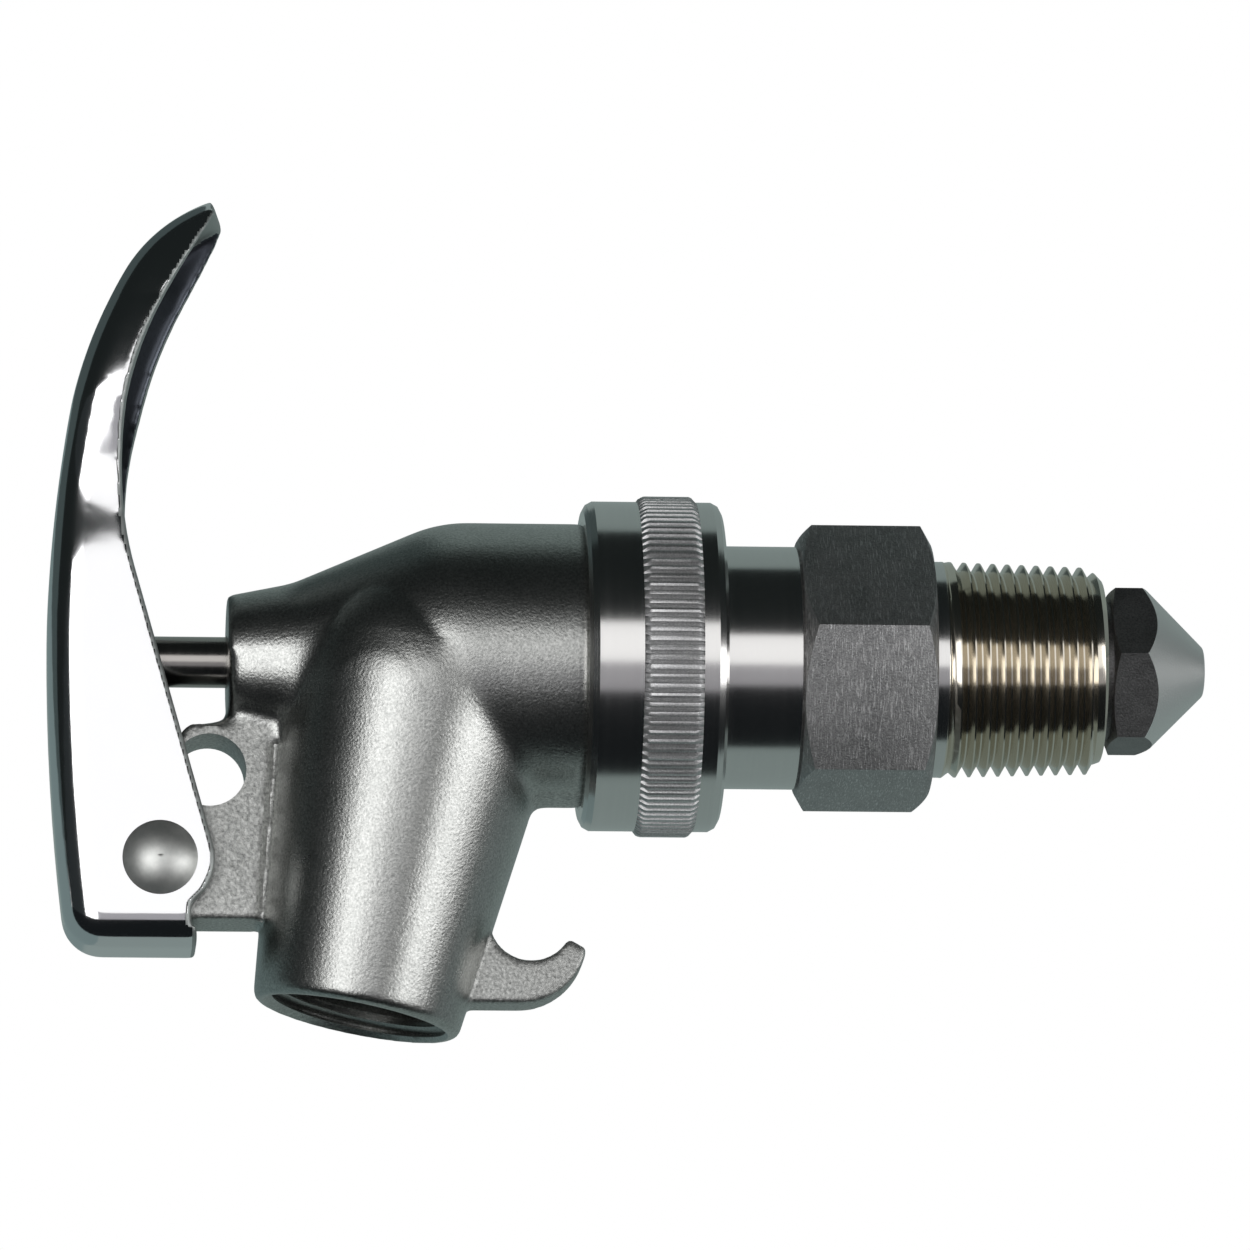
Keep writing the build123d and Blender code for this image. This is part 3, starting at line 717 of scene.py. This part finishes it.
def fused_forms():
    """The casting's forms fused into one even skin."""
    whole = bmesh.new()
    for solid in casting_solids():
        mesh = bpy.data.meshes.new("form")
        solid.to_mesh(mesh)
        solid.free()
        whole.from_mesh(mesh)
        bpy.data.meshes.remove(mesh)
    body = loose_solid(whole, "tap_body_cast")
    fuse = body.modifiers.new("fused", "REMESH")
    fuse.mode = "VOXEL"
    fuse.voxel_size = casting_grid * mm
    apply_changes(body)
    return body


def in_joint(point):
    """Whether a point lies where the spout or the lug grows out of the barrel."""
    down, gap = spout_place(point)
    place = point.x / mm
    near_barrel = abs(hypot(point.y, point.z) / mm - barrel_outline(place)) < joint_reach
    near_spout = abs(gap) < joint_reach and down > 0 and place < barrel_step - joint_reach
    return near_barrel and (near_spout or place < lug_root_x and point.z < 0)


def joined_casting():
    """The fused skin, smoothed a little all over and more in the joints.

    A ground groove follows the lug's joint with the spout on each side."""
    body = fused_forms()
    bm = bmesh.new()
    bm.from_mesh(body.data)
    smoothed(bm, bm.verts, casting_passes)
    smoothed(bm, [vert for vert in bm.verts if in_joint(vert.co)], joint_passes)
    for vert in bm.verts:
        down, gap = spout_place(vert.co)
        on_lug = vert.co.x < lug_root_x * mm and vert.co.z < lug_corner_z * mm
        if on_lug and 0 < gap < seam_width and abs(vert.co.y) > seam_from * mm:
            vert.co.y *= 1 - seam_depth / lug_half * sin(pi * gap / seam_width)
    bm.to_mesh(body.data)
    bm.free()
    return body


def bored_casting(body):
    """Cut what is machined into the casting: chamber, stuffing box, outlet, rivet hole and eye."""
    worked(body, turned(round_profile([
        (boss_face - cut_past, 0), (boss_face - cut_past, stem_hole), (stuffing_start, stem_hole),
        (stuffing_start, stuffing_radius), (chamber_start, stuffing_radius),
        (chamber_start, chamber_radius), (guide_seat_start, chamber_radius),
        (guide_seat_start, guide_seat_radius), (body_rear + cut_past, guide_seat_radius),
        (body_rear + cut_past, 0),
    ], {5: chamber_round})), "DIFFERENCE")
    outlet = turned([
        (0, 0), (0, spout_bore), (screen_seat_start, spout_bore), (screen_seat_start, screen_seat_radius),
        (outlet_start + outlet_overlap, screen_seat_radius), (outlet_start + outlet_overlap, 0),
    ], cast_steps)
    outlet_thread = screw_solid(
        outlet_start, spout_length + cut_past, pipe_pitch, outlet_root, outlet_crest, cast_steps
    )
    mouth_flare = turned([
        (spout_length - flare_depth, 0), (spout_length - flare_depth, outlet_root),
        (spout_length + flare_rise, outlet_crest + flare_width),
        (spout_length + cut_past, outlet_crest + flare_width), (spout_length + cut_past, 0),
    ], cast_steps)
    for cutter in (outlet, outlet_thread, mouth_flare):
        bmesh.ops.transform(cutter, matrix=spout_frame, verts=cutter.verts)
        worked(body, cutter, "DIFFERENCE")
    for x, z, radius in ((pivot_x, pivot_z, rivet_hole), (eye_x, eye_z, eye_radius)):
        hole = plate_solid(arc_points(x, z, radius, *hole_arc), 2 * lug_half)
        worked(body, hole, "DIFFERENCE")


def cast_metal(name, grains, depth, dark, light, rough_low, rough_high):
    """Cast skin: pebbled in its relief, speckled and slightly uneven in its tone."""
    material, tree, shader = new_finish(name)
    place = add_node(tree, "ShaderNodeTexCoord").outputs["Object"]
    pebbles = add_node(
        tree, "ShaderNodeTexNoise", {"Vector": place}, Scale=grains, Detail=4.0, Roughness=0.6
    )
    pits = add_node(
        tree, "ShaderNodeTexVoronoi", {"Vector": place}, {"feature": "SMOOTH_F1"}, Scale=0.8 * grains
    )
    patches = add_node(tree, "ShaderNodeTexNoise", {"Vector": place}, Scale=140.0, Detail=5.0)
    pitted = math_node(tree, "MULTIPLY", pits.outputs["Distance"], 0.5)
    speckle = add_node(
        tree, "ShaderNodeMapRange", {"Value": pebbles.outputs["Fac"]}, From_Min=0.3, From_Max=0.7
    )
    tone = mixed_tones(
        tree, speckle.outputs[0], (dark, 1.02 * dark, 0.99 * dark), (light, 1.01 * light, 0.98 * light)
    )
    tree.links.new(tone, shader.inputs["Base Color"])
    tree.links.new(between(tree, patches.outputs["Fac"], rough_low, rough_high), shader.inputs["Roughness"])
    raised(tree, shader, math_node(tree, "ADD", pebbles.outputs["Fac"], pitted), depth)
    return material


def on_plate(face):
    """Whether a face is on the pivot lug's or bucket hook's flat sides, which are left as cast."""
    down, gap = spout_place(face.center)
    on_side = abs(face.center.y) < (lug_half + plate_slack) * mm
    return gap > plate_gap and on_side and face.center.z < plate_top * mm


blasted_cast = cast_metal(
    "blasted cast steel", grains=3300.0, depth=0.032, dark=0.30, light=0.56, rough_low=0.24, rough_high=0.34
)
rough_cast = cast_metal(
    "cast steel skin", grains=2500.0, depth=0.07, dark=0.26, light=0.66, rough_low=0.38, rough_high=0.52
)
tap_body = joined_casting()
bored_casting(tap_body)
finished(tap_body, blasted_cast, "tap", ["tap_body"], 40)
partly_covered(tap_body, rough_cast, on_plate)

# Soft rings of white fluoropolymer: the union's gasket, the stem's packing and the valve's seat.
# They are cut from sheet or moulded, and show only if the tap is taken apart.
white_dark = (0.80, 0.79, 0.76)
white_light = (0.88, 0.88, 0.86)


def soft_white():
    """White fluoropolymer with a faint waxy unevenness."""
    material, tree, shader = new_finish("white fluoropolymer", metallic=0.0)
    place = add_node(tree, "ShaderNodeTexCoord").outputs["Object"]
    cloud = add_node(tree, "ShaderNodeTexNoise", {"Vector": place}, Scale=300.0, Detail=3.0)
    tone = mixed_tones(tree, cloud.outputs["Fac"], white_dark, white_light)
    tree.links.new(tone, shader.inputs["Base Color"])
    tree.links.new(between(tree, cloud.outputs["Fac"], 0.4, 0.55), shader.inputs["Roughness"])
    return material


dressed(soft_white(), "union_gasket", "packing_rings", "seat_washer")

# Small pieces inside, turned or stamped in steel: packing washer and gland, stem guide, spring
# collar with its clip, backing washer, and the ring that holds the arrester's screen.
dressed(plain_turned, "packing_washer", "packing_gland", "stem_guide", "spring_collar", "collar_clip")
dressed(plain_turned, "backing_washer", "arrester_ring")

# Return spring, coiled from drawn wire. It stands on the guide and presses the collar on the stem, and on
# the tap its coils close up when the lever is pulled; this copy of the frame's spring keeps its shape and is
# tied to no body.
wire_colour = (0.50, 0.50, 0.50)


def merged_copy(node_name, name):
    """A copy of a frame solid's mesh with its split vertices merged."""
    bm = bmesh.new()
    bm.from_mesh(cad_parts[node_name].data)
    bmesh.ops.remove_doubles(bm, verts=bm.verts, dist=weld_gap)
    return loose_solid(bm, name)


drawn_wire = turned_metal("drawn spring wire", wire_colour, 0.25, 0.40, lines_per_mm=2.0, depth=0.004)
spring = merged_copy("return_spring", "coiled_spring")
covered(spring, drawn_wire)
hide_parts("return_spring")
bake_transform(spring)

# Flame arrester's screen, woven from fine steel wire and cut to a disc. It lies on its seat in
# the spout, where the arrester ring holds it.
wires_per_metre = 1500.0
# Near-black colour for the openings between the wires: painted shade seen through the screen.
screen_gap_shade_colour = (0.03, 0.03, 0.03)
screen_wire_colour = (0.60, 0.58, 0.54)


def woven_metal():
    """Woven wire: two sets of crossing wires, with painted shade in the gaps between them."""
    material, tree, shader = new_finish("woven screen wire")
    place = add_node(tree, "ShaderNodeTexCoord").outputs["Object"]
    parts = add_node(tree, "ShaderNodeSeparateXYZ", {"Vector": place}).outputs
    waves = []
    for axis in ("X", "Y"):
        phase = math_node(tree, "MULTIPLY", parts[axis], 2 * pi * wires_per_metre)
        waves.append(math_node(tree, "ABSOLUTE", math_node(tree, "SINE", phase)))
    weave = math_node(tree, "MAXIMUM", *waves)
    wire = add_node(tree, "ShaderNodeMapRange", {"Value": weave}, From_Min=0.55, From_Max=0.95)
    tone = mixed_tones(tree, wire.outputs[0], screen_gap_shade_colour, screen_wire_colour)
    tree.links.new(tone, shader.inputs["Base Color"])
    tree.links.new(between(tree, weave, 0.6, 0.35), shader.inputs["Roughness"])
    raised(tree, shader, weave, 0.12)
    return material


dressed(woven_metal(), "arrester_screen")

# Valve stem, a round rod ground from stainless bar, given a darker brownish tone all along.
# It runs from the lever through the tap to the nose, and the lever's pull slides it.
stem_colour = (0.42, 0.40, 0.38)

dark_brownish_stem = turned_metal("dark brownish stem steel", stem_colour, 0.14, 0.26, lines_per_mm=4.0, depth=0.003)
dressed(dark_brownish_stem, "valve_stem")

# Valve nose on the stem's end: a short piece of drawn hexagonal bar, matt on its flats, with a
# cone turned on its end to a pale satin. It holds the seat washer against its backing.
nose_dark = 0.06
nose_light = 0.34
cone_colour = (0.80, 0.80, 0.79)
cone_roughness = 0.42
cone_from = 0.35
cone_to = 0.5


def nose_metal():
    """Dark speckled bar steel that turns pale and smoother where the cone's slope faces forward."""
    material = bar_metal("valve nose steel", nose_dark, nose_light, scratched=0.0)
    tree = material.node_tree
    shader = tree.nodes["Principled BSDF"]
    facing = add_node(tree, "ShaderNodeSeparateXYZ", {
        "Vector": add_node(tree, "ShaderNodeTexCoord").outputs["Normal"],
    }).outputs["X"]
    coned = add_node(
        tree, "ShaderNodeMapRange", {"Value": facing}, From_Min=cone_from, From_Max=cone_to
    ).outputs[0]
    for key, pale in (("Base Color", cone_colour), ("Roughness", [cone_roughness] * 3)):
        given = shader.inputs[key].links[0].from_socket
        mixed = add_node(tree, "ShaderNodeMix", {"Factor": coned, "A": given}, {"data_type": "RGBA"})
        mixed.inputs["B"].default_value = (*pale, 1)
        tree.links.new(mixed.outputs["Result"], shader.inputs[key])
    return material


dressed(nose_metal(), "valve_nose")

# Lever, pressed from stainless sheet into a channel with a closed heel, then tumbled and
# polished, which softens its cut edges. It turns on the rivet and pushes the stem.
press_grid = 0.3
press_passes = 13
grip_start = 10.0
grip_end = 34.0
grip_turn = radians(6.5)
pinch_start = 32.0
pinch_end = 45.0
pinch_slope = 0.09
dent_low = 11.0
dent_deepest = 22.5
dent_high = 34.0
dent_depth = 1.3
edge_facing = 0.2
inside_facing = 0.5
sheet_colour = (0.80, 0.80, 0.81)
sheet_edge_colour = (0.50, 0.53, 0.52)
# Near-black colour for the faces inside the channel: painted shade.
sheet_inside_shade_colour = (0.10, 0.11, 0.13)


def softened_copy(node_name, name):
    """A copy of a frame solid with an even skin and softened edges."""
    piece = merged_copy(node_name, name)
    even = piece.modifiers.new("even", "REMESH")
    even.mode = "VOXEL"
    even.voxel_size = press_grid * mm
    apply_changes(piece)
    bm = bmesh.new()
    bm.from_mesh(piece.data)
    smoothed(bm, bm.verts, press_passes)
    bm.to_mesh(piece.data)
    bm.free()
    return piece


def dent(height):
    """How far the flanges are pressed in at a height, below the thumb's place."""
    if height < dent_deepest:
        share = max(0, (height - dent_low) / (dent_deepest - dent_low))
    else:
        share = max(0, (dent_high - height) / (dent_high - dent_deepest))
    return dent_depth * (1 - cos(pi * share)) / 2


def turned_grip(piece):
    """Turn the grip a little about its own length, draw its top in and dent its flanges."""
    ranges = {}
    for vert in piece.data.vertices:
        level = round(vert.co.z / mm)
        least, most = ranges.get(level, (vert.co.x, vert.co.x))
        ranges[level] = (min(least, vert.co.x), max(most, vert.co.x))
    grip_half = max(abs(vert.co.y) for vert in piece.data.vertices if vert.co.z / mm > pinch_start)
    for vert in piece.data.vertices:
        height = vert.co.z / mm
        if height > grip_start:
            below = int(height)
            low = sum(ranges.get(below, ranges[round(height)])) / 2
            high = sum(ranges.get(below + 1, ranges[round(height)])) / 2
            middle = low + (high - low) * (height - below)
            share = min(1, (height - grip_start) / (grip_end - grip_start))
            turn = grip_turn * share * share * (3 - 2 * share)
            drawn_in = pinch_slope * (min(pinch_end, max(pinch_start, height)) - pinch_start)
            pinch = (drawn_in + dent(height)) * mm
            off_middle = vert.co.x - middle
            across = vert.co.y * (1 - pinch / grip_half)
            vert.co.x = middle + off_middle * cos(turn) + across * sin(turn)
            vert.co.y = across * cos(turn) - off_middle * sin(turn)


def polished_metal(name, colour, roughness):
    """Pressed sheet, polished: deep gloss with faint waviness and fine hairlines."""
    material, tree, shader = new_finish(name)
    place = add_node(tree, "ShaderNodeTexCoord").outputs["Object"]
    wave = add_node(tree, "ShaderNodeTexNoise", {"Vector": place}, Scale=110.0, Detail=2.0)
    marked = add_node(tree, "ShaderNodeGroup", settings={"node_tree": handling_marks}, Amount=0.05)
    shader.inputs["Base Color"].default_value = (*colour, 1)
    rubbed = between(tree, marked.outputs["Rub"], 0.6 * roughness, 1.5 * roughness)
    tree.links.new(rubbed, shader.inputs["Roughness"])
    relief = math_node(tree, "SUBTRACT", wave.outputs["Fac"], marked.outputs["Height"])
    raised(tree, shader, relief, 0.05)
    return material


def faces_inward(face):
    """Whether a face of the lever looks across the channel."""
    return face.normal.y * (1 if face.center.y > 0 else -1) < -inside_facing


lever = softened_copy("lever", "pressed_lever")
turned_grip(lever)
polished_sheet = polished_metal("polished pressed sheet", sheet_colour, 0.11)
finished(lever, polished_sheet, "lever", ["lever"], 60)
sheared_edge = turned_metal(
    "sheared sheet edge", sheet_edge_colour, 0.45, 0.60, lines_per_mm=2.0, depth=0.004
)
partly_covered(lever, sheared_edge, lambda face: face.normal.x > edge_facing)
# Faces that look across the channel get a near-black sheet colour: painted shade inside the channel.
partly_covered(lever, polished_metal("painted shade inside the channel", sheet_inside_shade_colour, 0.30), faces_inward)

# Pivot rivet, headed from soft steel wire, with a satin domed head on each side. It passes
# through the lever's flanges and the body's lug, and the lever turns on it.
satin_rivet = cast_metal(
    "satin rivet steel", grains=900.0, depth=0.012, dark=0.68, light=0.80, rough_low=0.40, rough_high=0.52
)
dressed(satin_rivet, "pivot_rivet")

# Studio: a pale floor far below, pale panels and dark cards that only the metal sees, and the
# camera at the photo's place, a little below and to the left.
floor_level = -1.0
floor_half = 12
floor_dark = (0.86, 0.86, 0.86)
floor_light = (0.90, 0.90, 0.90)
panel_distance = 0.9
panel_steps = 16


def floor_material():
    """Pale matt floor."""
    material, tree, shader = new_finish("pale floor", metallic=0.0)
    place = add_node(tree, "ShaderNodeTexCoord").outputs["Object"]
    cloud = add_node(tree, "ShaderNodeTexNoise", {"Vector": place}, Scale=2.0, Detail=2.0)
    tone = mixed_tones(tree, cloud.outputs["Fac"], floor_dark, floor_light)
    tree.links.new(tone, shader.inputs["Base Color"])
    shader.inputs["Roughness"].default_value = 0.9
    return material


floor_bm = bmesh.new()
bmesh.ops.create_grid(floor_bm, x_segments=1, y_segments=1, size=floor_half)
bmesh.ops.translate(floor_bm, verts=floor_bm.verts, vec=(0, 0, floor_level))
floor = loose_solid(floor_bm, "floor")
floor.data.materials.append(floor_material())


def studio_panel(name, left, right, low, high, strength, tint=(1, 1, 1)):
    """A curved panel round the object, from bearing to bearing and height to height in degrees.

    Bearing 0 is straight in front, on the camera's side, and heights go on over the top."""
    bm = bmesh.new()
    verts = []
    for step in range(panel_steps + 1):
        bearing = radians(left + (right - left) * step / panel_steps)
        verts.append(bm.verts.new((sin(bearing) * panel_distance, -cos(bearing) * panel_distance, 0)))
    edges = [bm.edges.new(pair) for pair in zip(verts, verts[1:])]
    bmesh.ops.rotate(bm, verts=verts, cent=(0, 0, 0), matrix=Matrix.Rotation(radians(-low), 3, "X"))
    bmesh.ops.spin(
        bm, geom=verts + edges, cent=(0, 0, 0), axis=(-1, 0, 0), angle=radians(high - low),
        steps=panel_steps,
    )
    panel = loose_solid(bm, name)
    material = bpy.data.materials.new(name)
    material.use_nodes = True
    tree = material.node_tree
    tree.nodes.clear()
    glow = add_node(tree, "ShaderNodeEmission", Strength=strength)
    glow.inputs["Color"].default_value = (*tint, 1)
    tree.links.new(glow.outputs[0], tree.nodes.new("ShaderNodeOutputMaterial").inputs["Surface"])
    panel.data.materials.append(material)
    panel.visible_camera = False
    panel.visible_shadow = False


studio_panel("front_panel", -16, 13, -8, 20, 1.25)
studio_panel("front_low_panel", -16, 13, -32, -8, 0.42, (0.96, 0.95, 1.0))
studio_panel("left_softbox", -44, -16, -28, 20, 2.5)
studio_panel("left_card", -89, -44, -28, 20, 0.03, (0.8, 0.95, 1.0))
studio_panel("right_card", 13, 30, -28, 20, 0.07)
studio_panel("right_softbox", 29, 76, -34, 9, 2.7)
studio_panel("right_high_card", 30, 89, 9, 20, 0.1)
studio_panel("top_card", -89, 89, 20, 97, 0.015, (0.8, 1.0, 1.0))
studio_panel("bottom_card", -89, 89, -92, -28, 0.012, (0.75, 0.9, 1.0))
studio_panel("back_left_high_card", -89, -14, 97, 158, 0.08, (0.75, 1.0, 1.0))
studio_panel("back_left_card", -89, -14, 158, 268, 0.24, (0.75, 1.0, 1.0))
studio_panel("back_panel", -14, 50, 97, 268, 0.30, (0.82, 1.0, 0.97))
studio_panel("back_right_card", 50, 89, 97, 268, 0.25, (0.85, 1.0, 1.0))

# Studio air: white all round, as bright to the camera and in the metal as in the photo, and a
# little weaker as light on what is matt.
world = bpy.data.worlds.new("studio air")
bpy.context.scene.world = world
world.use_nodes = True
air = world.node_tree
air.nodes.clear()
seen = add_node(air, "ShaderNodeLightPath").outputs
shown = math_node(air, "MAXIMUM", seen["Is Camera Ray"], seen["Is Glossy Ray"])
shown = math_node(air, "MAXIMUM", shown, seen["Is Transmission Ray"])
strength = add_node(air, "ShaderNodeMapRange", {"Value": shown}, To_Min=0.8, To_Max=1.0)
sky = add_node(air, "ShaderNodeBackground", {"Strength": strength.outputs[0]})
sky.inputs["Color"].default_value = (1, 1, 1, 1)
air.links.new(sky.outputs[0], air.nodes.new("ShaderNodeOutputWorld").inputs["Surface"])

# Camera at the photo's place, turned by yaw, pitch and roll, with its lens from the focal
# length in pixels of the photo.
camera_place = Vector((-125.0, -1276.1, -257.3)) * mm
camera_yaw = radians(3.91)
camera_pitch = radians(11.602)
camera_roll = radians(-0.192)
focal_pixels = 10463.4
photo_pixels = 1250
sensor_width = 36.0
nearest = 0.05
farthest = 50.0

camera_data = bpy.data.cameras.new("camera")
camera_data.sensor_width = sensor_width
camera_data.lens = focal_pixels / photo_pixels * sensor_width
camera_data.clip_start = nearest
camera_data.clip_end = farthest
camera = bpy.data.objects.new("camera", camera_data)
bpy.context.scene.collection.objects.link(camera)
level_forward = Vector((sin(camera_yaw), cos(camera_yaw), 0))
forward = cos(camera_pitch) * level_forward + Vector((0, 0, sin(camera_pitch)))
right = Vector((cos(camera_yaw), -sin(camera_yaw), 0))
up = right.cross(forward)
right_turned = cos(camera_roll) * right + sin(camera_roll) * up
up_turned = -sin(camera_roll) * right + cos(camera_roll) * up
turned_axes = Matrix((right_turned, up_turned, -forward)).transposed()
camera.matrix_world = Matrix.Translation(camera_place) @ turned_axes.to_4x4()
bpy.context.scene.camera = camera
bpy.context.scene.view_settings.view_transform = "Standard"
